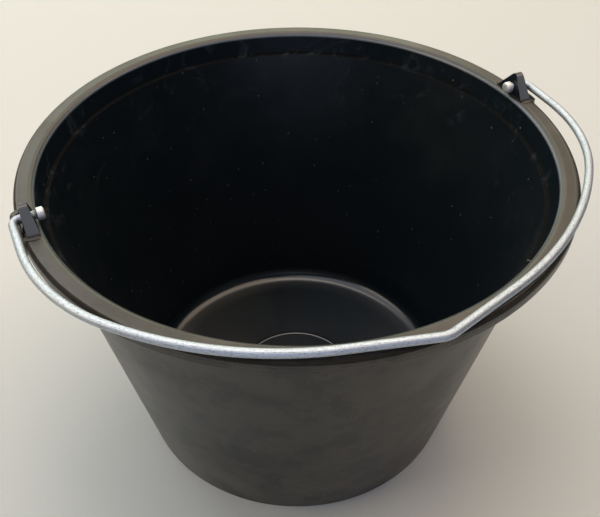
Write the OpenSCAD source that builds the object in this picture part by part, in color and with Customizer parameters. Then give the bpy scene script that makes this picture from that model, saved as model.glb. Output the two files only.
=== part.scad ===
// Mortar mixing tub: a one-piece moulded plastic tub with two lugs on its rim,
// and a wire bail that turns in the lugs.
// +Z up, origin on the ground at the middle of the foot, X along the bail's pivot.
// The bail is folded forward, towards -Y, and lies just clear of the rim.

/* [Tub] */
// Outside diameter of the rim
rim_d = 340; // [240:1:480]
// Height of the rim's top above the ground
tub_h = 216; // [120:1:340]
// Outside diameter of the foot
base_d = 231; // [160:1:290]
// Thickness of the side wall
wall = 2.6; // [1.8:0.1:4]
// Thickness of the floor
floor_t = 2.8; // [2.4:0.1:5]
// Height of the floor's underside above the ground
foot_h = 1.5; // [1:0.1:8]
// Radius of the round inside corner between floor and wall
corner_r = 7; // [4:0.5:14]
// Width of the gentle slope from the corner down to the dished floor
dish_slope_w = 7; // [3:0.5:15]
// Depth of the shallow dish in the floor
dish_h = 0.8; // [0.4:0.1:1.4]
// Diameter of the thin bead on the floor
bead_d = 89; // [40:1:110]

/* [Rim] */
// How far the rim's edge stands out from the side wall's slope
overhang = 14; // [12:0.5:20]
// Depth of the turned-down skirt
skirt_h = 8.5; // [6:0.5:20]
// Thickness of the rim's top and skirt
rim_t = 2.6; // [2:0.1:4]
// Radius where the wall rolls over into the rim's top
roll_r = 4; // [2:0.5:6]
// Radius of the rim's outer corner
lip_r = 3.5; // [1:0.1:4]
// Depth of the stacking ledge below the rim's top
step_down = 14.2; // [10:0.1:24]
// How far the ledge rises towards the wall above it
step_h = 0.5; // [0.2:0.1:3]
// How far the wall steps out there
step_out = 2.2; // [1:0.1:4]
// How much more the wall leans out above the ledge, in degrees
mouth_flare = 5; // [0:0.5:8]

/* [Lugs] */
// Thickness of a lug at its pivot
lug_t = 6.5; // [5:0.1:8]
// Slope of a lug's inner face, which makes the lug thinner towards its top
lug_draft = 10; // [0:0.5:14]
// Height of a lug above the rim's top
lug_h = 14; // [12:0.5:20]
// Width of a lug where it stands on the rim
lug_w = 27; // [22:0.5:34]
// Radius of a lug's round top
lug_tip_r = 3.6; // [2.5:0.1:5]
// Height of the pivot above the rim's top
pivot_h = 4.8; // [4.2:0.1:7]
// How far a lug's outer face lies inside the rim's edge
lug_inset = 3.2; // [2.8:0.1:5]
// Radius of the round pad under a lug
pad_r = 16; // [14:0.5:20]
// How far the pad stands out past the skirt
pad_out = 2.8; // [1.5:0.1:4]
// How much the pad stands above the rim
pad_up = 0.3; // [0.2:0.1:0.6]
// How far the pad reaches down past the skirt
pad_down = 1.5; // [0.5:0.1:3]
// Length of a core slot beside a lug
slot_l = 5; // [3:0.5:6]
// Width of a core slot
slot_w = 2; // [1.2:0.1:2.6]

/* [Bail] */
// Diameter of the wire
wire_d = 5; // [3.6:0.1:6.2]
// Diameter of the upset heads at the wire's ends
head_d = 7.4; // [6.6:0.1:10]
// Length of a head
head_l = 4.4; // [3:0.1:6]
// Bare wire between lug and head at the -X end
play_left = 2.2; // [0.5:0.1:4]
// Bare wire between lug and head at the +X end
play_right = 0.8; // [0.5:0.1:4]
// Inside radius of the bends beside the lugs
bend_in_r = 2.7; // [2:0.1:6]
// Angle of each half of the bail at its middle
peak_a = 15.4; // [8:0.1:22]
// Centre line radius of the bend at the middle
peak_r = 14; // [8:1:25]
// How far the middle of the bail reaches past the rim's edge
peak_out = 2; // [0:0.1:4]
// How far the middle of the hand-bent bail sits towards -X
peak_shift = 1.4; // [-3:0.1:3]

/* [Clearances] */
// Radial clearance of the wire in the lugs
hole_gap = 0.3; // [0.2:0.05:0.5]
// Clearance of the wire above the rim when folded
rest_gap = 0.3; // [0.2:0.05:1]
// Straight wire between a lug's outer face and the bend beside it
leg_gap = 0; // [0:0.05:2]

/* [Hidden] */

$fn = 96;
past = 1;
rim_r = rim_d / 2;
base_r = base_d / 2;
bead_r = bead_d / 2;
wire_r = wire_d / 2;
hole_r = wire_r + hole_gap;
foot_round = 1;
bead_h = 0.4;
bead_half_w = 1;

// Straight steps that each rounded edge of the tub is drawn in
foot_steps = 3;
lip_steps = 4;
roll_steps = 6;
corner_steps = 6;
tip_steps = 8;

// Side wall, straight from the foot up to the rim
wall_lean = atan((rim_r - overhang - base_r) / (tub_h - skirt_h));
wall_across = wall / cos(wall_lean);
function wall_out(z) = base_r + z * tan(wall_lean);
function wall_in(z) = wall_out(z) - wall_across;

// Floor, and the centre of the round corner above its edge
edge_z = foot_h + floor_t;
floor_z = edge_z - dish_h;
corner_c = [wall_in(edge_z + corner_r) - corner_r / cos(wall_lean), edge_z + corner_r];
dish_r = corner_c[0] - dish_slope_w;

// Stacking ledge: its low and top corners inside
step_low_z = tub_h - step_down - step_h;
step_top_z = tub_h - step_down;
step_low = [wall_in(step_low_z), step_low_z];
step_top = [wall_in(step_top_z) + step_out, step_top_z];
step_lean = atan2(step_top[0] - step_low[0], step_h);

// Wall above the ledge, and the way through the wall where two leans meet
mouth_lean = wall_lean + mouth_flare;
function mouth_in(z) = step_top[0] + (z - step_top_z) * tan(mouth_lean);
function mouth_out(z) = mouth_in(z) + wall / cos(mouth_lean);
function through(a, b) = wall / cos((a - b) / 2) * [cos((a + b) / 2), -sin((a + b) / 2)];

// Rim, and the centre of the roll-over at the mouth
under_z = tub_h - rim_t;
skirt_in = rim_r - rim_t;
roll_z = tub_h - roll_r;
roll_c = [mouth_in(roll_z) + roll_r / cos(mouth_lean), roll_z];

// Lugs, their pads and the pivot through them
lug_out = rim_r - lug_inset;
lug_in = lug_out - lug_t;
lug_foot = pivot_h * tan(lug_draft);
slot_pitch = lug_w / 3;
pad_x = rim_r - pad_r / 2;
pad_z = tub_h - skirt_h - pad_down;
pad_t = tub_h + pad_up - pad_z;
pivot_z = tub_h + pivot_h;

// Bail outline: tangent arcs from a lug round to the middle, joined by straight runs
bend_r = bend_in_r + wire_r;
leg_x = lug_out + bend_r + leg_gap;
side_share = 0.633;
front_share = 1.169;
side_r = side_share * rim_r;
side_a = 39.9;
front_r = front_share * rim_r;
front_a = 90 - peak_a;
peak_y = rim_r + peak_out;
front_c_x = leg_x - side_r - (front_r - side_r) * cos(side_a);
front_end_x = front_c_x + front_r * cos(front_a);
front_c_y = front_r * sin(front_a) + front_end_x * tan(peak_a) - peak_y;
side_c = [leg_x - side_r, front_c_y - (front_r - side_r) * sin(side_a)];
front_c = [front_c_x, front_c_y];
peak_c = [0, peak_r / cos(peak_a) - peak_y];

// The swept wire's sides, its rings in each bend, and how far its corners
// lie inside the round of its end pins
wire_sides = 16;
bend_steps = 6;
side_steps = 10;
front_steps = 10;
peak_steps = 3;
sweep_in = 0.02;
sweep_r = wire_r - sweep_in;

// Rounded edge and domed end of a head
head_edge = 0.5;
dome_w = 1.2;
dome_h = 0.3;

// Tilt of the folded bail, down from the pivot to the rim's front
fold_a = asin((pivot_h - wire_r - rest_gap) / peak_y);

// Points along an arc about c, from angle a0 to a1 in n steps
function arc(c, r, a0, a1, n) =
    [for (i = [0:n]) c + r * [cos(a0 + (a1 - a0) * i / n), sin(a0 + (a1 - a0) * i / n)]];

// Half section of the tub, out from the axis
module tub_section()
    polygon(concat(
        [[0, foot_h], [base_r - wall_across, foot_h], [base_r - wall_across, 0]],
        arc([base_r - foot_round, foot_round], foot_round, -90, -wall_lean, foot_steps),
        [step_low + through(step_lean, wall_lean), step_top + through(step_lean, mouth_lean)],
        [[mouth_out(under_z), under_z], [skirt_in, under_z]],
        [[skirt_in, tub_h - skirt_h], [rim_r, tub_h - skirt_h]],
        arc([rim_r - lip_r, tub_h - lip_r], lip_r, 0, 90, lip_steps),
        arc(roll_c, roll_r, 90, 180 - mouth_lean, roll_steps),
        [step_top, step_low],
        arc(corner_c, corner_r, -wall_lean, -90, corner_steps),
        [[dish_r, floor_z], [bead_r + bead_half_w, floor_z], [bead_r, floor_z + bead_h]],
        [[bead_r - bead_half_w, floor_z], [0, floor_z]]
    ));

// Outline of a lug, standing on y = 0: a triangle whose sides run into a round top
module lug_outline(sink) {
    half = lug_w / 2;
    tip = [0, lug_h - lug_tip_r];
    meet_a = acos(lug_tip_r / norm([half, tip[1]])) - atan2(tip[1], half);
    polygon(concat(
        [[half, -sink], [half, 0]],
        arc(tip, lug_tip_r, meet_a, 180 - meet_a, tip_steps),
        [[-half, 0], [-half, -sink]]
    ));
}

// Round pad under a lug, thickening the rim's edge, at +X
module pad()
    intersection() {
        translate([pad_x, 0, pad_z]) cylinder(r = pad_r, h = pad_t);
        difference() {
            translate([0, 0, pad_z]) cylinder(r = rim_r + pad_out, h = pad_t);
            translate([0, 0, pad_z - past]) cylinder(r = skirt_in, h = under_z - pad_z + past);
            translate([0, 0, pad_z - past]) cylinder(r = roll_c[0], h = pad_t + 2 * past);
        }
    }

// One lug on its pad, at +X
module lug() {
    pad();
    difference() {
        translate([lug_in - lug_foot, 0, tub_h]) rotate([90, 0, 90])
            linear_extrude(lug_t + lug_foot) lug_outline(rim_t / 2);
        translate([lug_in, 0, pivot_z]) rotate([0, lug_draft, 0])
            translate([-lug_t, -lug_w, -lug_h]) cube([lug_t, 2 * lug_w, 2 * lug_h]);
    }
}

// What the mould's cores leave open beside and through a lug, at +X
module lug_openings() {
    for (k = [-1, 0, 1])
        translate([lug_out, k * slot_pitch - slot_l / 2, pad_z - past])
            cube([slot_w, slot_l, pad_t + 2 * past]);
    translate([lug_in - lug_foot - past, 0, pivot_z]) rotate([0, 90, 0])
        cylinder(r = hole_r, h = lug_t + lug_foot + 2 * past);
}

module tub() color([0.09, 0.09, 0.09])
    difference() {
        union() {
            rotate_extrude() tub_section();
            for (side = [0, 180]) rotate([0, 0, side]) lug();
        }
        for (side = [0, 180]) rotate([0, 0, side]) lug_openings();
    }

// Stations along an arc of the bail: [x, y, outward direction]
function stations(c, r, a0, a1, n) =
    [for (i = [0:n]) let (a = a0 + (a1 - a0) * i / n) [c[0] + r * cos(a), c[1] + r * sin(a), a]];

// How far a point of the bail is carried sideways, from nothing at the pivot
function carried(y) = peak_shift * y / peak_y;

half_path = concat(
    stations([leg_x - bend_r, -bend_r], bend_r, 90, 0, bend_steps),
    stations(side_c, side_r, 0, -side_a, side_steps),
    stations(front_c, front_r, -side_a, -front_a, front_steps),
    stations(peak_c, peak_r, -front_a, -90, peak_steps)
);
last = len(half_path) - 1;
bail_path = concat(
    half_path,
    [for (i = [1:last]) let (p = half_path[last - i]) [-p[0], p[1], 180 - p[2]]]
);

// Round wire swept through the stations of a flat path
module wire_sweep(path) {
    rings = len(path);
    n = wire_sides;
    points = [
        for (p = path, j = [0:n - 1]) let (t = 360 * j / n, out = sweep_r * cos(t))
            [p[0] + carried(p[1]) + out * cos(p[2]), p[1] + out * sin(p[2]), sweep_r * sin(t)]
    ];
    sides = [
        for (i = [0:rings - 2], j = [0:n - 1]) let (k = (j + 1) % n)
            [i * n + j, (i + 1) * n + j, (i + 1) * n + k, i * n + k]
    ];
    start = [for (j = [0:n - 1]) j];
    end = [for (j = [0:n - 1]) rings * n - 1 - j];
    polyhedron(points = points, faces = concat([start], sides, [end]));
}

// An upset head: a short barrel with a domed end, pointing inwards from x
module head(x) {
    head_r = head_d / 2;
    translate([x, 0, 0]) rotate([0, -90, 0]) rotate_extrude()
        polygon([
            [0, 0], [head_r - head_edge, 0], [head_r, head_edge], [head_r, head_l - dome_w],
            [head_r - dome_w, head_l - dome_h], [0, head_l]
        ]);
}

// One end of the bail at +X: the straight pin through the lug, and the head inside it
module bail_end(play) {
    head_x = lug_in - play;
    head(head_x);
    translate([head_x, 0, 0]) rotate([0, 90, 0]) cylinder(r = wire_r, h = leg_x - bend_r - head_x);
}

module bail() color([0.75, 0.77, 0.8])
    translate([0, 0, pivot_z]) rotate([fold_a, 0, 0]) {
        wire_sweep(bail_path);
        bail_end(play_right);
        mirror([1, 0, 0]) bail_end(play_left);
    }

tub();
bail();
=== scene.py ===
# %% [markdown]
# # A mortar mixing tub
#
# The real thing is two pieces: a black tub, moulded in one shot with two lugs
# on its rim, and a wire bail that hangs in the lugs. The CAD model already
# fixes every size, so this script keeps its frame and gives each of the two
# pieces the rounded edges, the thin mould marks and the worn finish that the
# eye looks for.

# %% Load the frame
import math

import bmesh
import bpy
from mathutils import Matrix, Vector


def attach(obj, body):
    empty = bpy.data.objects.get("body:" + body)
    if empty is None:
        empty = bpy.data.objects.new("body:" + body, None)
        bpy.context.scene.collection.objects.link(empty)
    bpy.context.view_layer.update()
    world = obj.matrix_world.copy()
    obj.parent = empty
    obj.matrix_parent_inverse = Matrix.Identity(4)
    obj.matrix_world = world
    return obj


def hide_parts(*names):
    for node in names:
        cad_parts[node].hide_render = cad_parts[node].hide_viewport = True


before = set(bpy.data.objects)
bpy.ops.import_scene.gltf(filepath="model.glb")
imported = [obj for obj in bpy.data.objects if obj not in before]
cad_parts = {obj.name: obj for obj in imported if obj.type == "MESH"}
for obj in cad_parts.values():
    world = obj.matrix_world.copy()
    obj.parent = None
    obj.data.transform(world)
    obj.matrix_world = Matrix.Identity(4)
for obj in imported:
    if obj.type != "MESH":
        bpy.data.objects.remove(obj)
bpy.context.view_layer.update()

MM = 0.001

# %% [markdown]
# ## Camera
#
# The camera comes first, because every later choice is judged through it. It
# looks down into the tub from about forty-two degrees, close enough for the
# near rim to look much larger than the far one. Turning it in three steps,
# first round the tub, then down, then a little about its own line of sight,
# is easier to follow than one set of angles.

# %% Camera
CAMERA_AT = (-0.1746, -0.3709, 0.4966)
CAMERA_ROUND, CAMERA_DOWN, CAMERA_TILT = -24.12, 42.30, -0.80

camera_data = bpy.data.cameras.new("camera")
camera_data.lens = 47.9
camera_data.sensor_width = 36.0
camera_data.shift_x = 0.0257
camera_data.shift_y = 0.006
camera = bpy.data.objects.new("camera", camera_data)
bpy.context.scene.collection.objects.link(camera)
camera.matrix_world = (
    Matrix.Translation(CAMERA_AT)
    @ Matrix.Rotation(math.radians(CAMERA_ROUND), 4, "Z")
    @ Matrix.Rotation(math.radians(90 - CAMERA_DOWN), 4, "X")
    @ Matrix.Rotation(math.radians(CAMERA_TILT), 4, "Z")
)
bpy.context.scene.camera = camera
print("camera at", [round(v, 3) for v in camera.matrix_world.translation])

# %% [markdown]
# ## A rounded section
#
# Most of the tub is turned: one section carried round an axis. A toolmaker
# draws that section with sharp corners and then gives each corner its radius.
# Here the corners are a chain of vertices, and bevel rounds each one. It wants
# the distance from the corner to where the round begins, which follows from
# the radius and from how far the outline turns there.

# %% Section helper
def section(corners, segments):
    """Chains (across, up, radius) corners in mm into edges in the XZ plane, and rounds them."""
    bm = bmesh.new()
    points = [Vector((x, 0.0, z)) * MM for x, z, _ in corners]
    verts = [bm.verts.new(p) for p in points]
    for a, b in zip(verts, verts[1:]):
        bm.edges.new((a, b))
    for i, (_, _, radius) in enumerate(corners):
        if radius:
            angle = (points[i] - points[i - 1]).angle(points[i + 1] - points[i])
            bmesh.ops.bevel(bm, geom=[verts[i]], offset=radius * MM * math.tan(angle / 2),
                            offset_type="OFFSET", segments=segments, profile=0.5,
                            affect="VERTICES", material=-1)
    return bm


def new_object(name, bm):
    """Turns a bmesh into a smooth-shaded mesh object in the scene."""
    bm.normal_update()
    mesh = bpy.data.meshes.new(name)
    bm.to_mesh(mesh)
    bm.free()
    for face in mesh.polygons:
        face.use_smooth = True
    obj = bpy.data.objects.new(name, mesh)
    bpy.context.scene.collection.objects.link(obj)
    return obj


print("helpers ready: section, new_object")

# %% [markdown]
# ## The tub's wall, floor and rim
#
# The wall leans out by about eleven degrees so that the tub leaves its mould
# and nests in the next one. Every height and radius below is the CAD's own
# size, so the skin lies on the CAD solid. Only the bead and the corner of the
# floor are drawn a little softer.

# %% Tub sizes
RIM_R = 170.0
TUB_H = 216.0
FOOT_R = 115.5
SKIRT_H = 8.5
OVERHANG = 14.0
WALL = 2.6
RIM_T = 2.6
FLOOR_Z = 3.5
FOOT_H = 1.5
BEAD_R, BEAD_H = 44.5, 0.2
DISH_R, DISH_RISE = 100.9, 1.47
CORNER_R = 11.0
LEDGE_Z = TUB_H - 14.2
LEDGE_RISE, LEDGE_OUT = 0.5, 2.2
MOUTH_R = 4.0
LIP_R = 3.5

lean = math.atan((RIM_R - OVERHANG - FOOT_R) / (TUB_H - SKIRT_H))


def wall_out(z):
    return FOOT_R + z * math.tan(lean)


def wall_in(z):
    return wall_out(z) - WALL / math.cos(lean)


mouth_lean = lean + math.radians(5)


def mouth_in(z):
    return wall_in(LEDGE_Z) + LEDGE_OUT + (z - LEDGE_Z) * math.tan(mouth_lean)


def mouth_out(z):
    return mouth_in(z) + WALL / math.cos(mouth_lean)


print("wall leans", round(math.degrees(lean), 2), "degrees, its collar", round(math.degrees(mouth_lean), 2))

# %% [markdown]
# The section runs from the middle of the floor, over the thin bead, up the
# dish to the corner and up the inside, out at the small ledge that stops nested
# tubs from jamming, over the mouth and the flat rim, down the skirt, and back
# under to the foot. Each corner is its place across, its height and the radius
# that rounds it.

# %% Tub section and spin
under = TUB_H - RIM_T
skirt_bottom = TUB_H - SKIRT_H
foot_in = wall_in(0)
corner_z = FLOOR_Z + DISH_RISE

tub_corners = [
    (0.0, FLOOR_Z, 0.0),
    (BEAD_R - 1.4, FLOOR_Z, 2.0), (BEAD_R - 0.4, FLOOR_Z + BEAD_H, 1.8),
    (BEAD_R + 0.4, FLOOR_Z + BEAD_H, 1.8), (BEAD_R + 1.4, FLOOR_Z, 2.0),
    (DISH_R, FLOOR_Z, 80.0),
    (wall_in(corner_z), corner_z, CORNER_R),
    (wall_in(LEDGE_Z - LEDGE_RISE), LEDGE_Z - LEDGE_RISE, 0.08),
    (mouth_in(LEDGE_Z), LEDGE_Z, 0.6),
    (mouth_in(TUB_H), TUB_H, MOUTH_R),
    (RIM_R, TUB_H, LIP_R),
    (RIM_R, skirt_bottom, 0.5), (RIM_R - RIM_T, skirt_bottom, 0.5),
    (RIM_R - RIM_T, under, 1.0),
    (mouth_out(under), under, 1.5),
    (mouth_out(LEDGE_Z - 2.2), LEDGE_Z - 2.2, 1.0),
    (wall_out(LEDGE_Z - 2.7), LEDGE_Z - 2.7, 1.0),
    (FOOT_R, 0.0, 1.0), (foot_in, 0.0, 0.8),
    (foot_in, FOOT_H, 0.8),
    (0.0, FOOT_H, 0.0),
]

bm = section(tub_corners, segments=10)
bmesh.ops.spin(bm, geom=bm.verts[:] + bm.edges[:], cent=(0, 0, 0), axis=(0, 0, 1),
               angle=math.tau, steps=240, use_merge=True)
bmesh.ops.remove_doubles(bm, verts=bm.verts, dist=0.01 * MM)
bmesh.ops.recalc_face_normals(bm, faces=bm.faces)
tub_shell = new_object("tub_shell", bm)
tub_shell.modifiers.new("even shading", "WEIGHTED_NORMAL").keep_sharp = True
print("tub shell:", len(tub_shell.data.polygons), "faces")

# %% [markdown]
# ## Lugs on their pads
#
# Each end of the bail turns in a triangular lug. The lug stands on a round pad
# where the mould was cut deeper, and three narrow slots beside it are where
# the mould's core thinned the plastic. Cutting one solid out of another is the
# natural way to make these, so a small helper runs the Boolean modifier and
# keeps only its result.

# %% Boolean helper
def combine(target, other, operation):
    """Joins, cuts or crosses target with other, and removes other."""
    cut = target.modifiers.new(operation, "BOOLEAN")
    cut.object, cut.operation, cut.solver = other, operation, "EXACT"
    graph = bpy.context.evaluated_depsgraph_get()
    result = bpy.data.meshes.new_from_object(target.evaluated_get(graph))
    target.modifiers.clear()
    target.data = result
    bpy.data.objects.remove(other)
    return target


def drum(radius, height, place, segments):
    """A closed cylinder that stands on its place, all in mm."""
    bm = bmesh.new()
    ring = bmesh.ops.create_circle(bm, cap_ends=True, radius=radius * MM, segments=segments)
    top = bmesh.ops.extrude_face_region(bm, geom=bm.faces[:])
    bmesh.ops.translate(bm, verts=[v for v in top["geom"] if isinstance(v, bmesh.types.BMVert)],
                        vec=(0, 0, height * MM))
    bmesh.ops.recalc_face_normals(bm, faces=bm.faces)
    bmesh.ops.translate(bm, verts=bm.verts, vec=Vector(place) * MM)
    return new_object("drum", bm)


def block(size, centre):
    """A box of the given size in mm, about its centre."""
    bm = bmesh.new()
    bmesh.ops.create_cube(bm, size=1.0)
    bmesh.ops.scale(bm, vec=Vector(size) * MM, verts=bm.verts)
    bmesh.ops.translate(bm, vec=Vector(centre) * MM, verts=bm.verts)
    return new_object("block", bm)


print("helpers ready: combine, drum, block")

# %% [markdown]
# The pad is a piece of a ring, as wide as the rim and bulging a little past
# the skirt, that is kept only inside a circle of sixteen millimetres. Spinning
# a six-cornered section through a few degrees gives the ring piece, and a drum
# taller than the piece gives the circle.

# %% Pad
DRUM_LONG = 20.0
PAD_R = 16.0
PAD_HALF = math.radians(7)
PAD_X = RIM_R - PAD_R / 2
PAD_OUT = RIM_R + 2.8
PAD_TOP = TUB_H + 0.3
PAD_BOTTOM = skirt_bottom - 1.5
FLAT_R = 161.5


def make_pad():
    bm = section([
        (FLAT_R, under, 0.0), (FLAT_R, PAD_TOP, 0.0), (PAD_OUT, PAD_TOP, 2.5),
        (PAD_OUT, PAD_BOTTOM, 0.6), (RIM_R - RIM_T, PAD_BOTTOM, 0.0),
        (RIM_R - RIM_T, under, 0.0), (FLAT_R, under, 0.0)], segments=5)
    bmesh.ops.remove_doubles(bm, verts=bm.verts, dist=0.01 * MM)
    bmesh.ops.contextual_create(bm, geom=bm.edges[:])
    bmesh.ops.rotate(bm, verts=bm.verts, cent=(0, 0, 0), matrix=Matrix.Rotation(-PAD_HALF, 3, "Z"))
    bmesh.ops.spin(bm, geom=bm.verts[:] + bm.edges[:] + bm.faces[:], cent=(0, 0, 0),
                   axis=(0, 0, 1), angle=2 * PAD_HALF, steps=14)
    bmesh.ops.recalc_face_normals(bm, faces=bm.faces)
    ring = new_object("ring", bm)
    return combine(ring, drum(PAD_R, DRUM_LONG, (PAD_X, 0, PAD_BOTTOM - 4.0), 96), "INTERSECT")


print("pad:", PAD_R, "mm round its middle,", round(PAD_TOP - PAD_BOTTOM, 1), "mm deep")

# %% [markdown]
# The lug itself is a triangle, drawn as three vertices, filled, drawn out to
# its thickness and rounded at the top with one bevel. Its inner face slopes, so
# that the lug is thinner at the top and comes out of the mould; a shear that
# leans only that face gives the slope. The crest is a hair lower than the
# CAD's, which keeps the skin inside the CAD's box.

# %% Lug plate
LUG_OUT = RIM_R - 3.2
LUG_T = 6.5
LUG_IN = LUG_OUT - LUG_T
LUG_H = 14.0
LUG_HALF = 13.5
TIP_R = 3.6
CREST_LOW = 0.1
PIVOT_Z = TUB_H + 4.8
HOLE_R = 2.8
DRAFT = math.tan(math.radians(10))
SLOT_T, SLOT_W, SLOT_LONG, SLOT_PITCH = 2.0, 5.0, 30.0, 9.0
SINK = 1.0

tip_z = LUG_H - CREST_LOW - TIP_R
slope = math.atan2(tip_z, LUG_HALF) + math.asin(TIP_R / math.hypot(tip_z, LUG_HALF))
apex_z = LUG_HALF * math.tan(slope)
tip_reach = TIP_R * math.tan(slope)


def make_plate():
    bm = bmesh.new()
    low = SINK / math.tan(slope)
    corners = [(-LUG_HALF - low, -SINK), (LUG_HALF + low, -SINK), (0.0, apex_z)]
    face = bm.faces.new([bm.verts.new(Vector((LUG_IN, y, TUB_H + z)) * MM) for y, z in corners])
    out = bmesh.ops.extrude_face_region(bm, geom=[face])
    bmesh.ops.translate(bm, verts=[v for v in out["geom"] if isinstance(v, bmesh.types.BMVert)],
                        vec=(LUG_T * MM, 0, 0))
    crest = [e for e in bm.edges if all(v.co.z > (TUB_H + LUG_H) * MM for v in e.verts)]
    bmesh.ops.bevel(bm, geom=crest, offset=tip_reach * MM, offset_type="OFFSET", segments=12,
                    profile=0.5, affect="EDGES", material=-1)
    for v in bm.verts:
        if v.co.x < (LUG_IN + LUG_OUT) / 2 * MM:
            v.co.x += (v.co.z - PIVOT_Z * MM) * DRAFT
    bmesh.ops.recalc_face_normals(bm, faces=bm.faces)
    return new_object("plate", bm)


print("lug slopes", round(math.degrees(slope), 1), "degrees up to a tip of", TIP_R, "mm")

# %% [markdown]
# The finished lug is the plate on its pad, with the slots and the pivot hole
# cut out. Every cutter is longer than what it cuts. A narrow bevel then softens
# each edge that a Boolean left sharp.

# %% Finished lugs
def make_lug(name, side):
    lug = combine(make_pad(), make_plate(), "UNION")
    for k in (-1, 0, 1):
        slot = block((SLOT_T, SLOT_W, SLOT_LONG), (LUG_OUT + SLOT_T / 2, k * SLOT_PITCH, TUB_H))
        lug = combine(lug, slot, "DIFFERENCE")
    hole = drum(HOLE_R, DRUM_LONG, (0, 0, -DRUM_LONG / 2), 48)
    hole.data.transform(Matrix.Translation(Vector((LUG_OUT, 0, PIVOT_Z)) * MM)
                        @ Matrix.Rotation(math.radians(90), 4, "Y"))
    lug = combine(lug, hole, "DIFFERENCE")
    if side < 0:
        lug.data.transform(Matrix.Rotation(math.pi, 4, "Z"))
    lug.name = name
    for face in lug.data.polygons:
        face.use_smooth = True
    edge = lug.modifiers.new("edges", "BEVEL")
    edge.width, edge.segments, edge.limit_method = 0.45 * MM, 3, "ANGLE"
    edge.angle_limit = math.radians(35)
    edge.harden_normals = True
    return lug


lugs = [make_lug("lug_right", 1), make_lug("lug_left", -1)]
print("lugs:", [len(lug.data.polygons) for lug in lugs], "faces")

# %% [markdown]
# ## The bail
#
# A wire bender makes the bail from one straight wire as a list of runs and
# turns. The script does the same: it starts with one ring of vertices, and
# each run or turn extrudes the last ring and moves it on. Two attributes are
# laid down on the way: how far along the wire each ring is, and where each
# vertex lies round it. The drawn finish follows them later, without a seam. The
# wire is a hair thinner than the CAD's, to stay inside the CAD's box.

# %% Wire helpers
WIRE_R = 2.48
WIRE_SIDES = 24


def start_ring(bm, place):
    """A filled circle of wire at a place in mm, facing along X."""
    along = bm.verts.layers.float.new("along")
    around = bm.verts.layers.float_vector.new("around")
    ring = bmesh.ops.create_circle(bm, cap_ends=True, radius=WIRE_R * MM, segments=WIRE_SIDES)["verts"]
    for v in ring:
        v[along] = 0.0
        v[around] = (v.co.x / (WIRE_R * MM), v.co.y / (WIRE_R * MM), 0.0)
    bmesh.ops.rotate(bm, verts=ring, cent=(0, 0, 0), matrix=Matrix.Rotation(math.radians(90), 3, "Y"))
    bmesh.ops.translate(bm, verts=ring, vec=Vector(place) * MM)
    return ring


def carry(bm, ring, length, move):
    """Extrudes a ring, moves the copy on, and adds to its distance along the wire."""
    edges = {e for v in ring for e in v.link_edges if all(w in ring for w in e.verts)}
    grown = bmesh.ops.extrude_edge_only(bm, edges=list(edges))["geom"]
    ring = [v for v in grown if isinstance(v, bmesh.types.BMVert)]
    along = bm.verts.layers.float["along"]
    for v in ring:
        v[along] += length * MM
    move(ring)
    return ring


def run(bm, ring, step):
    """Carries the wire straight on by a step in mm."""
    return carry(bm, ring, Vector(step).length,
                 lambda verts: bmesh.ops.translate(bm, verts=verts, vec=Vector(step) * MM))


def turn(bm, ring, centre, radius, degrees, steps):
    """Bends the wire about a centre, clockwise for a negative angle."""
    angle = math.radians(degrees) / steps
    for _ in range(steps):
        ring = carry(bm, ring, abs(angle) * radius,
                     lambda verts: bmesh.ops.rotate(bm, verts=verts, cent=Vector(centre) * MM,
                                                    matrix=Matrix.Rotation(angle, 3, "Z")))
    return ring


def sin(degrees):
    return math.sin(math.radians(degrees))


def cos(degrees):
    return math.cos(math.radians(degrees))


print("helpers ready: start_ring, carry, run, turn, sin, cos")

# %% [markdown]
# Seen from above, the wire leaves the pin in a tight bend, runs straight beside
# the rim, follows it with a side arc and a flatter front arc, and comes to a
# shallow peak at the middle. The arcs meet without a corner, which fixes their
# centres. The second half mirrors the first.

# %% Bail path
BEND_INSIDE = 2.7
BEND_R = BEND_INSIDE + WIRE_R
LEG_X = LUG_OUT + BEND_R
SIDE_R, SIDE_A = 0.633 * RIM_R, 39.9
PEAK_A, PEAK_R, PEAK_Y, PEAK_SHIFT = 15.4, 14.0, RIM_R + 2.0, 1.4
FRONT_R, FRONT_A = 1.169 * RIM_R, 90.0 - PEAK_A
PIN_X = 157.0

front_x = LEG_X - SIDE_R - (FRONT_R - SIDE_R) * cos(SIDE_A)
front_end_x = front_x + FRONT_R * cos(FRONT_A)
front_y = FRONT_R * sin(FRONT_A) + front_end_x * math.tan(math.radians(PEAK_A)) - PEAK_Y
side_y = front_y - (FRONT_R - SIDE_R) * sin(SIDE_A)
peak_y = PEAK_R / cos(PEAK_A) - PEAK_Y
leg_run = (0.0, side_y + BEND_R, 0.0)
peak_start = Vector((PEAK_R * cos(FRONT_A), peak_y - PEAK_R * sin(FRONT_A), 0.0))
front_end = Vector((front_end_x, front_y - FRONT_R * sin(FRONT_A), 0.0))
front_run = peak_start - front_end

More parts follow.
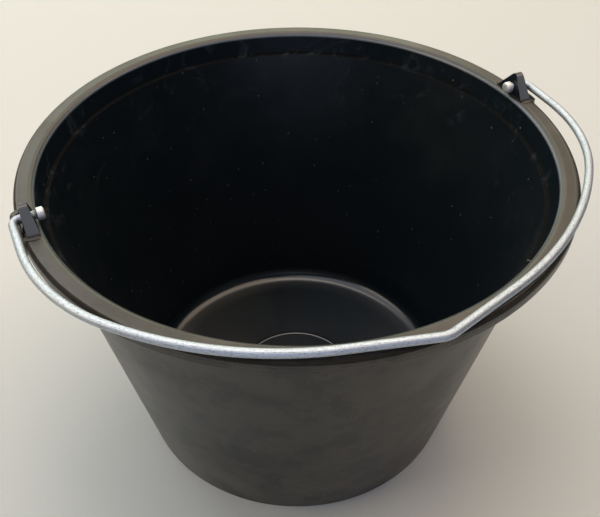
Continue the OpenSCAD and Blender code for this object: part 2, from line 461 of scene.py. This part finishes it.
bm = bmesh.new()
ring = start_ring(bm, (PIN_X, 0, 0))
ring = run(bm, ring, (LEG_X - BEND_R - PIN_X, 0, 0))
ring = turn(bm, ring, (LEG_X - BEND_R, -BEND_R, 0), BEND_R, -90, 10)
ring = run(bm, ring, leg_run)
ring = turn(bm, ring, (LEG_X - SIDE_R, side_y, 0), SIDE_R, -SIDE_A, 16)
ring = turn(bm, ring, (front_x, front_y, 0), FRONT_R, SIDE_A - FRONT_A, 18)
ring = run(bm, ring, front_run)
ring = turn(bm, ring, (0, peak_y, 0), PEAK_R, -2 * PEAK_A, 10)
ring = run(bm, ring, (front_run.x, -front_run.y, 0))
ring = turn(bm, ring, (-front_x, front_y, 0), FRONT_R, SIDE_A - FRONT_A, 18)
ring = turn(bm, ring, (-(LEG_X - SIDE_R), side_y, 0), SIDE_R, -SIDE_A, 16)
ring = run(bm, ring, (0, -leg_run[1], 0))
ring = turn(bm, ring, (-(LEG_X - BEND_R), -BEND_R, 0), BEND_R, -90, 10)
ring = run(bm, ring, (LEG_X - BEND_R - PIN_X, 0, 0))
bmesh.ops.contextual_create(bm, geom=ring)
wire_length = ring[0][bm.verts.layers.float["along"]]
print("wire length", round(wire_length, 3), "m, ends at",
      [round(v / MM, 2) for v in sum((w.co for w in ring), Vector()) / len(ring)])

# %% [markdown]
# Nobody bends a wire quite evenly, so the middle of this one sits a little to
# one side: a shear carries it there and leaves the two pins alone. The folded
# bail rests a hair above the rim, so the finished wire tips down a little about
# its pivot and then moves up to it.

# %% Bail in its place
REST_GAP = 0.3
FOLD_A = math.asin((PIVOT_Z - TUB_H - WIRE_R - REST_GAP) / PEAK_Y)
to_pivot = Matrix.Translation((0, 0, PIVOT_Z * MM)) @ Matrix.Rotation(FOLD_A, 4, "X")
bmesh.ops.recalc_face_normals(bm, faces=bm.faces)
aside = Matrix.Shear("XZ", 4, (PEAK_SHIFT / PEAK_Y, 0.0))
bmesh.ops.transform(bm, matrix=to_pivot @ aside, verts=bm.verts)
wire = new_object("bail_wire", bm)
wire.modifiers.new("even shading", "WEIGHTED_NORMAL").keep_sharp = True
print("bail wire:", len(wire.data.polygons), "faces, folded by", round(math.degrees(FOLD_A), 2), "degrees")

# %% [markdown]
# The heads are upset cold: each end of the wire is driven back into a short
# barrel, wider than the hole, with a soft edge. The bail has a little play
# along its pin, so one head sits close to its lug and the other shows some bare
# wire.

# %% Heads
HEAD_R, HEAD_LONG = 3.7, 4.4


def make_head(name, side, play):
    """A barrel with a domed end, pointing inwards, its flat face play mm inside the lug."""
    bm = section([(0.0, 0.0, 0.0), (HEAD_R, 0.0, 0.5), (HEAD_R, HEAD_LONG - 0.7, 1.0),
                  (HEAD_R - 1.3, HEAD_LONG - 0.1, 1.5), (0.0, HEAD_LONG, 0.0)], segments=5)
    bmesh.ops.spin(bm, geom=bm.verts[:] + bm.edges[:], cent=(0, 0, 0), axis=(0, 0, 1),
                   angle=math.tau, steps=40, use_merge=True)
    bmesh.ops.remove_doubles(bm, verts=bm.verts, dist=0.01 * MM)
    bmesh.ops.recalc_face_normals(bm, faces=bm.faces)
    place = (to_pivot @ Matrix.Translation((side * (LUG_IN - play) * MM, 0, 0))
             @ Matrix.Rotation(-side * math.radians(90), 4, "Y"))
    bmesh.ops.transform(bm, matrix=place, verts=bm.verts)
    return new_object(name, bm)


heads = [make_head("head_right", 1, 0.8), make_head("head_left", -1, 2.2)]
print("heads:", [h.name for h in heads])

# %% [markdown]
# ## Materials
#
# Every material below is built from nodes. One small function adds a node: its
# settings are plain keywords, and each input is a number, a socket, or another
# node, which gives its first output. Colours are written as the hex values that
# a paint chart gives, and one function turns them to the linear values that a
# shader wants.

# %% Node and colour helpers
def linear(hex_colour):
    """An sRGB hex colour as linear RGBA."""
    parts = [int(hex_colour[i:i + 2], 16) / 255 for i in (1, 3, 5)]
    return [p / 12.92 if p <= 0.04045 else ((p + 0.055) / 1.055) ** 2.4 for p in parts] + [1.0]


def add(tree, kind, inputs=None, **settings):
    """Adds a node with its settings, and sets or links its inputs. A node links its first output."""
    node = tree.nodes.new("ShaderNode" + kind)
    for name, value in settings.items():
        setattr(node, name, value)
    for name, value in (inputs or {}).items():
        if isinstance(value, bpy.types.Node):
            value = next(socket for socket in value.outputs if socket.enabled)
        if isinstance(value, bpy.types.NodeSocket):
            tree.links.new(value, node.inputs[name])
        else:
            node.inputs[name].default_value = value
    return node


def new_material(name):
    material = bpy.data.materials.new(name)
    material.use_nodes = True
    tree = material.node_tree
    return material, tree, tree.nodes["Principled BSDF"]


print("helpers ready: linear, add, new_material")

# %% [markdown]
# ### Black polyethylene, injection moulded
#
# The tub is high-density polyethylene with carbon black in it. The plastic
# itself is nearly black all through, and what the eye sees is the light on its
# waxy skin: soft and broad, a little uneven where the melt cooled, and broken
# by dust and scuffs on the rim, where hands, trowels and other tubs rub it.
#
# A Map Range node makes a mask out of a height or a radius, and holds its last
# value beyond each end. Its end values can be other masks, and then the two
# multiply.

# %% Masks of the rim
MOUTH_EDGE = 158.5

poly, tree, shader = new_material("black polyethylene, injection moulded")
place = add(tree, "TexCoord").outputs["Object"]
split = add(tree, "SeparateXYZ", {0: place})
height = split.outputs["Z"]
flat = add(tree, "CombineXYZ", {"X": split.outputs["X"], "Y": split.outputs["Y"]})
radius = add(tree, "VectorMath", {0: flat}, operation="LENGTH")

below_lugs = add(tree, "MapRange", {"Value": height, "From Min": (PAD_TOP + 0.3) * MM,
                                    "From Max": (PAD_TOP + 1.0) * MM, "To Min": 1.0, "To Max": 0.0})
near_top = add(tree, "MapRange", {"Value": height, "From Min": (TUB_H - 4.0) * MM,
                                  "From Max": (TUB_H - 1.0) * MM, "To Max": below_lugs})
top = add(tree, "MapRange", {"Value": radius, "From Min": (MOUTH_EDGE - 1.0) * MM,
                             "From Max": (MOUTH_EDGE + 2.0) * MM, "To Max": near_top})
# The mouth mask is the thin ring at the edge of the mouth where a highlight is painted.
mouth = add(tree, "MapRange", {"Value": radius, "From Min": (MOUTH_EDGE - 0.8) * MM,
                               "From Max": (MOUTH_EDGE - 0.5) * MM, "To Max": near_top})
mouth = add(tree, "MapRange", {"Value": radius, "From Min": MOUTH_EDGE * MM,
                               "From Max": (MOUTH_EDGE + 0.5) * MM, "To Min": mouth, "To Max": 0.0})
near_lip = add(tree, "MapRange", {"Value": height, "From Min": (TUB_H - 7.5) * MM,
                                  "From Max": (TUB_H - 5.5) * MM})
lip = add(tree, "MapRange", {"Value": radius, "From Min": (RIM_R - 4.0) * MM,
                             "From Max": (RIM_R - 1.5) * MM, "To Max": near_lip})
print("masks: top of the rim, mouth, outer lip")

# %% [markdown]
# The inside is whatever lies nearer the axis than the middle of the wall, which
# is one straight line below the ledge and another above it.

# %% Inside and outside
FADE = 0.5 * MM

low_wall = add(tree, "Math", {0: height, 1: math.tan(lean), 2: (FOOT_R - WALL / 2) * MM},
               operation="MULTIPLY_ADD")
high_wall = add(tree, "Math", {0: height, 1: math.tan(mouth_lean), 2: (mouth_in(0) + WALL / 2) * MM},
                operation="MULTIPLY_ADD")
middle = add(tree, "Math", {0: low_wall, 1: high_wall}, operation="MAXIMUM")
depth = add(tree, "Math", {0: middle, 1: radius}, operation="SUBTRACT")
inside = add(tree, "MapRange", {"Value": depth, "From Min": 0.0, "From Max": FADE})
outside = add(tree, "MapRange", {"Value": depth, "From Min": -FADE, "From Max": 0.0,
                                 "To Min": 1.0, "To Max": 0.0})
print("masks: inside, outside")

# %% [markdown]
# More masks follow from these two. The collar is the inside from the ledge up,
# the foot is the lowest part of the outside, and the reach is the part of the
# inside that tools lean on.

# %% Ledge, foot, floor and reach
ledge_low = (LEDGE_Z - LEDGE_RISE) * MM
ledge_high = (LEDGE_Z + 0.6) * MM

collar = add(tree, "MapRange", {"Value": height, "From Min": ledge_low - 0.4 * MM,
                                "From Max": ledge_low - 0.1 * MM, "To Max": inside})
# The ledge mask marks the ledge's crease, where shade is painted into the colour; it also dulls the shine
# there.
ledge = add(tree, "MapRange", {"Value": height, "From Min": ledge_high - 0.2 * MM,
                               "From Max": ledge_high + 0.2 * MM, "To Min": collar, "To Max": 0.0})
foot = add(tree, "MapRange", {"Value": height, "From Min": 0.0, "From Max": 60.0 * MM,
                              "To Min": outside, "To Max": 0.0})
floor_skin = add(tree, "MapRange", {"Value": height, "From Min": 14.0 * MM, "From Max": 30.0 * MM,
                                    "To Min": inside, "To Max": 0.0})
reach = add(tree, "MapRange", {"Value": height, "From Min": 130.0 * MM, "From Max": 200.0 * MM,
                               "To Max": inside})
print("masks: ledge, foot, floor, reach")

# %% [markdown]
# The colour is built up in coats, each one mixed over the last. Inside, the
# black is a little cooler, which is a painted cool reflection, and the ledge is
# painted near black as shade in its crease. The rim's top is greyed by mortar
# dust and by hands, in patches a few centimetres wide, and the same grey stands
# in for the rim's sheen: partly dust, partly painted highlight. Outside lies a
# haze of cement, with dark smudges wiped into it, and it is thickest near the
# foot. A noise's scale counts its features per metre: 16 gives clouds of sixty
# millimetres, and 42 gives smudges of twenty-five.

# %% Dust with painted sheen, painted shade and haze
cloud = add(tree, "TexNoise", {"Vector": place, "Scale": 16.0, "Detail": 5.0, "Roughness": 0.6})
dust_and_sheen = add(tree, "MapRange", {"Value": cloud, "From Min": 0.35, "From Max": 0.70,
                              "To Min": 0.55, "To Max": 1.0})
# The dust on the rim's top is partly real dust and partly a painted highlight for the rim's sheen.
dust_and_sheen = add(tree, "Math", {0: dust_and_sheen, 1: top}, operation="MULTIPLY")
# Inside, the black is tinted cooler: a painted cool reflection.
black = add(tree, "Mix", {"Factor": inside, "A": linear("#0b0b0b"), "B": linear("#0d1419")},
            data_type="RGBA")
# The ledge is painted near black: painted shade in its crease.
black = add(tree, "Mix", {"Factor": ledge, "A": black, "B": linear("#040506")}, data_type="RGBA")
dust_and_sheen_coat = add(tree, "Mix", {"Factor": dust_and_sheen, "A": black, "B": linear("#38332e")}, data_type="RGBA")

mottle = add(tree, "TexNoise", {"Vector": place, "Scale": 42.0, "Detail": 7.0, "Roughness": 0.65})
haze = add(tree, "MapRange", {"Value": mottle, "From Min": 0.42, "From Max": 0.52, "To Max": outside})
hazy = add(tree, "Mix", {"Factor": haze, "A": dust_and_sheen_coat, "B": linear("#28251e")}, data_type="RGBA")
splash = add(tree, "MapRange", {"Value": mottle, "From Min": 0.35, "From Max": 0.62, "To Max": foot})
splashed = add(tree, "Mix", {"Factor": splash, "A": hazy, "B": linear("#453e34")}, data_type="RGBA")
print("coats: black, dust on the rim, haze outside, splashes at the foot")

# %% [markdown]
# A painted bluish-grey reflection lightens the two slopes of each lug, which is
# where its height plus its run down the slope comes to the height of the sharp
# tip. Tools scuff the upper part of the inside, and a thin painted highlight
# runs pale all round the edge of the mouth.

# %% Painted slope reflection, scuffed skin, painted mouth highlight
sharp_tip = (TUB_H + apex_z) * MM

beside = add(tree, "Math", {0: split.outputs["Y"]}, operation="ABSOLUTE")
sloped = add(tree, "Math", {0: beside, 1: math.tan(slope), 2: height}, operation="MULTIPLY_ADD")
on_lug = add(tree, "MapRange", {"Value": height, "From Min": (PAD_TOP + 0.5) * MM,
                                "From Max": (PAD_TOP + 1.1) * MM, "To Max": 0.75})
lug_slope_reflection = add(tree, "MapRange", {"Value": sloped, "From Min": sharp_tip - 1.0 * MM,
                              "From Max": sharp_tip - 0.3 * MM, "To Max": on_lug})
# The two slopes of each lug are lightened to bluish grey: a painted reflection.
slope_reflection_coat = add(tree, "Mix", {"Factor": lug_slope_reflection, "A": splashed, "B": linear("#565b61")}, data_type="RGBA")

scuff = add(tree, "TexNoise", {"Vector": place, "Scale": 48.0, "Detail": 8.0, "Roughness": 0.75,
                               "Distortion": 1.2})
scuff = add(tree, "MapRange", {"Value": scuff, "From Min": 0.55, "From Max": 0.75, "To Max": reach})
scuffed = add(tree, "Mix", {"Factor": scuff, "A": slope_reflection_coat, "B": linear("#2b3035")}, data_type="RGBA")

# The pale ring at the edge of the mouth is a painted highlight.
mouth_highlight_amount = add(tree, "Math", {0: mouth, 1: 0.50}, operation="MULTIPLY")
mouth_highlighted = add(tree, "Mix", {"Factor": mouth_highlight_amount, "A": scuffed, "B": linear("#848d95")}, data_type="RGBA")
print("coats: grey slopes of the lugs, scuffs inside, pale mouth")

# %% [markdown]
# The walls carry a few dry specks of mortar, about a millimetre across. Cells
# of twelve millimetres are laid out on the wall as if it were unrolled, and few
# of them hold a speck. The rim and the floor, where unrolling would draw the
# specks out into streaks, have none.

# %% Specks of mortar
UNROLL_R = 0.15

angle = add(tree, "Math", {0: split.outputs["Y"], 1: split.outputs["X"]}, operation="ARCTAN2")
arc = add(tree, "Math", {0: angle, 1: UNROLL_R}, operation="MULTIPLY")
unrolled = add(tree, "CombineXYZ", {"X": arc, "Y": height, "Z": radius})
cells = add(tree, "TexVoronoi", {"Vector": unrolled, "Scale": 85.0}, voronoi_dimensions="2D")
lucky = add(tree, "SeparateXYZ", {0: cells.outputs["Color"]})
upright = add(tree, "MapRange", {"Value": height, "From Min": 206.0 * MM, "From Max": 206.5 * MM,
                                 "To Min": 0.45, "To Max": 0.0})
upright = add(tree, "MapRange", {"Value": height, "From Min": 16.0 * MM, "From Max": 20.0 * MM,
                                 "To Max": upright})
chosen = add(tree, "MapRange", {"Value": lucky, "From Min": 0.82, "From Max": 0.99, "To Max": upright})
speck = add(tree, "MapRange", {"Value": cells.outputs["Distance"], "From Min": 0.030, "From Max": 0.055,
                               "To Min": chosen, "To Max": 0.0})
colour = add(tree, "Mix", {"Factor": speck, "A": mouth_highlighted, "B": linear("#8f8c86")}, data_type="RGBA")
tree.links.new(colour.outputs["Result"], shader.inputs["Base Color"])
print("coat: specks of mortar on the walls")

# %% [markdown]
# The shine varies more than the colour. The floor of the tub is polished by the
# trowel, and the rest is duller where dust lies or fingers have smudged it. The
# ledge is dull, because nobody polishes that part of a mould.

# %% Polyethylene shine
smudge = add(tree, "TexNoise", {"Vector": place, "Scale": 22.0, "Detail": 3.0, "Roughness": 0.6})
smudge = add(tree, "MapRange", {"Value": smudge, "From Min": 0.40, "From Max": 0.66, "To Max": 0.07})
rough = add(tree, "MapRange", {"Value": cloud, "From Min": 0.30, "From Max": 0.70,
                               "To Min": 0.26, "To Max": 0.35})
rough = add(tree, "Math", {0: rough, 1: smudge}, operation="ADD")
for mask, amount in ((dust_and_sheen, 0.08), (floor_skin, -0.13), (ledge, 0.50)):
    rough = add(tree, "Math", {0: mask, 1: amount, 2: rough}, operation="MULTIPLY_ADD")
tree.links.new(rough.outputs[0], shader.inputs["Roughness"])
shader.inputs["IOR"].default_value = 1.49
print("shine: roughness from 0.13 on the floor to 0.9 on the ledge")

# %% [markdown]
# A paddle has swept fine scratches round the wall: noise on the unrolled wall,
# stretched along the circle and tipped a little, shows them. The outer lip has
# picked up grit, which is a bump of about a millimetre's grain.

# %% Polyethylene relief
swept = add(tree, "Mapping", {"Vector": unrolled, "Scale": (9.0, 420.0, 420.0),
                              "Rotation": (0.0, 0.0, 0.12)})
sweep = add(tree, "TexNoise", {"Vector": swept, "Scale": 1.0, "Detail": 3.0, "Roughness": 0.6})
sweep = add(tree, "MapRange", {"Value": sweep, "From Min": 0.66, "From Max": 0.74, "To Max": 0.10})
grain = add(tree, "TexNoise", {"Vector": place, "Scale": 800.0, "Detail": 3.0, "Roughness": 0.6})
gritty = add(tree, "MapRange", {"Value": lip, "To Min": 0.10, "To Max": 2.4})
relief = add(tree, "Math", {0: grain, 1: gritty, 2: sweep}, operation="MULTIPLY_ADD")
skin = add(tree, "Bump", {"Height": relief, "Strength": 0.6, "Distance": 0.3 * MM})
tree.links.new(skin.outputs[0], shader.inputs["Normal"])
print("material:", poly.name)

# %% [markdown]
# ### Black polyethylene, dimmed for painted shade
#
# A copy of the black with its shine turned nearly off: painted shade on the
# collar above the ledge, and a painted shadow of the wire all round the corner
# of the lip. The skin there has the same colours but hardly shines at all.

# %% Matt polyethylene
# This copy's shine is turned nearly off, so wherever it lies it paints shade.
matt = poly.copy()
matt.name = "black polyethylene, dimmed for painted shade"
matt.node_tree.nodes["Principled BSDF"].inputs["Specular IOR Level"].default_value = 0.08
print("material:", matt.name)

# %% [markdown]
# ### Galvanised wire, drawn
#
# Drawn steel wire with a thin zinc skin: bright, with fine lines along it from
# the die and small dull pits where the zinc has weathered. Both are noise laid
# out by the two attributes of the wire. The lines are stretched along it, and
# the pits are a millimetre or two long.

# %% Galvanised wire
zinc, tree, shader = new_material("galvanised steel wire, drawn")
along = add(tree, "Attribute", attribute_name="along")
around = add(tree, "Attribute", attribute_name="around")
lift = add(tree, "CombineXYZ", {"Z": along.outputs["Fac"]})
on_wire = add(tree, "VectorMath", {0: around.outputs["Vector"], 1: lift}, operation="ADD")
drawn = add(tree, "Mapping", {"Vector": on_wire, "Scale": (9.0, 9.0, 30.0)})
lines = add(tree, "TexNoise", {"Vector": drawn, "Scale": 1.0, "Detail": 4.0, "Roughness": 0.65})
spread = add(tree, "Mapping", {"Vector": on_wire, "Scale": (3.0, 3.0, 700.0)})
pits = add(tree, "TexNoise", {"Vector": spread, "Scale": 1.0, "Detail": 4.0, "Roughness": 0.7})
pits = add(tree, "MapRange", {"Value": pits, "From Min": 0.32, "From Max": 0.50})
tone = add(tree, "Mix", {"Factor": lines, "A": linear("#939ba4"), "B": linear("#cfd8e2")},
           data_type="RGBA")
tone = add(tree, "Mix", {"Factor": pits, "A": linear("#868e97"), "B": tone}, data_type="RGBA")
tree.links.new(tone.outputs["Result"], shader.inputs["Base Color"])
shader.inputs["Metallic"].default_value = 1.0
shader.inputs["Roughness"].default_value = 0.50
ridge = add(tree, "Math", {0: lines, 1: pits}, operation="ADD")
ridge = add(tree, "Bump", {"Height": ridge, "Strength": 0.35, "Distance": 0.3 * MM})
tree.links.new(ridge.outputs[0], shader.inputs["Normal"])
print("material:", zinc.name)

# %% [markdown]
# ### Galvanised steel, upset cold
#
# The heads are the same steel after the hammer: the blow crazes the zinc, so it
# looks paler than the wire, with a sparkle of about a millimetre's grain in
# place of the die's lines.

# %% Galvanised heads
upset, tree, shader = new_material("galvanised steel, upset cold")
place = add(tree, "TexCoord").outputs["Object"]
crazed = add(tree, "TexNoise", {"Vector": place, "Scale": 900.0, "Detail": 4.0, "Roughness": 0.7})
tone = add(tree, "Mix", {"Factor": crazed, "A": linear("#a5a8aa"), "B": linear("#f2f3f2")},
           data_type="RGBA")
tree.links.new(tone.outputs["Result"], shader.inputs["Base Color"])
shader.inputs["Metallic"].default_value = 0.75
shader.inputs["Roughness"].default_value = 0.58
dents = add(tree, "Bump", {"Height": crazed, "Strength": 0.5, "Distance": 0.4 * MM})
tree.links.new(dents.outputs[0], shader.inputs["Normal"])
print("material:", upset.name)

# %% [markdown]
# ## Pieces, finishes and bodies
#
# The shell carries both blacks: a face takes the dimmed copy, as painted shade,
# if it lies on the collar, and as a painted shadow of the wire if it lies on the
# corner of the lip. Every other piece has one finish. Each piece then rides on
# its body, so that the bail's wire and heads turn together.

# %% Finish of the shell
COLLAR_LOW = (LEDGE_Z - LEDGE_RISE - 0.1) * MM
COLLAR_HIGH = (TUB_H - MOUTH_R + 0.5) * MM

tub_shell.data.materials.append(poly)
tub_shell.data.materials.append(matt)
matt_faces = 0
for face in tub_shell.data.polygons:
    across, up = face.center.xy.length, face.center.z
    # Collar faces take painted shade; faces on the lip's corner take a painted shadow of the wire.
    on_collar = COLLAR_LOW < up < COLLAR_HIGH and across < (mouth_in(up / MM) + 0.5) * MM
    on_lip = up > (TUB_H - LIP_R + 0.4) * MM and across > (RIM_R - 2.0) * MM
    face.material_index = int(on_collar or on_lip)
    matt_faces += face.material_index
print("matt faces:", matt_faces, "of", len(tub_shell.data.polygons))

# %% Bodies and slots
for lug in lugs:
    lug.data.materials.append(poly)
for piece in [tub_shell] + lugs:
    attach(piece, "tub")
for piece, finish in ((wire, zinc), (heads[0], upset), (heads[1], upset)):
    piece.data.materials.append(finish)
    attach(piece, "bail")
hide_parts("tub")
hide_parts("bail")
print("pieces on tub:", 1 + len(lugs), "pieces on bail:", 1 + len(heads))

# %% [markdown]
# ## Floor and light
#
# The floor is plain and pale, and its light comes back up on to the outer wall.

# %% Floor
bm = bmesh.new()
bmesh.ops.create_grid(bm, x_segments=1, y_segments=1, size=6.0)
floor = new_object("floor", bm)
paper, tree, shader = new_material("matt white paper")
shader.inputs["Base Color"].default_value = linear("#b3b5b4")
shader.inputs["Roughness"].default_value = 0.9
floor.data.materials.append(paper)
print("floor at z = 0")

# %% [markdown]
# The lights are large and soft. The flat rim reflects the ones above and behind
# the tub, which is what makes black plastic readable at all. A low one in front
# glances off the back of the inside.

# %% Lights
AIM = Vector((0.0, 0.0, 0.15))


def soft_light(name, azimuth, elevation, distance, size, power, colour):
    """A square area light round the tub, aimed at its middle, in degrees, metres and watts."""
    across = distance * cos(elevation)
    place = Vector((across * cos(azimuth), across * sin(azimuth), distance * sin(elevation)))
    data = bpy.data.lights.new(name, "AREA")
    data.shape, data.size, data.energy = "SQUARE", size, power
    data.color = linear(colour)[:3]
    light = bpy.data.objects.new(name, data)
    bpy.context.scene.collection.objects.link(light)
    towards = (AIM - place).to_track_quat("-Z", "Y").to_matrix().to_4x4()
    light.matrix_world = Matrix.Translation(place) @ towards


soft_light("back, low", 66, 26, 2.5, 1.4, 14.5, "#fbffde")
soft_light("back, left", 105, 32, 2.5, 1.5, 20.0, "#fffff2")
soft_light("above, left", 150, 68, 2.4, 2.4, 34.0, "#f2f6ff")
soft_light("above, right", 20, 68, 2.4, 2.4, 60.0, "#ffe9d0")
soft_light("front, low", 246, 24, 2.6, 1.8, 15.0, "#d3dbff")
soft_light("left", 165, 35, 2.5, 1.5, 20.0, "#ffe8b4")

# %% [markdown]
# A faint cool light from all round fills the shadows.

# %% World
world = bpy.data.worlds.new("studio")
world.use_nodes = True
sky = world.node_tree.nodes["Background"]
sky.inputs["Color"].default_value = linear("#dbe8ff")
sky.inputs["Strength"].default_value = 0.12
bpy.context.scene.world = world
bpy.context.scene.view_settings.view_transform = "Standard"
print("world:", world.name)
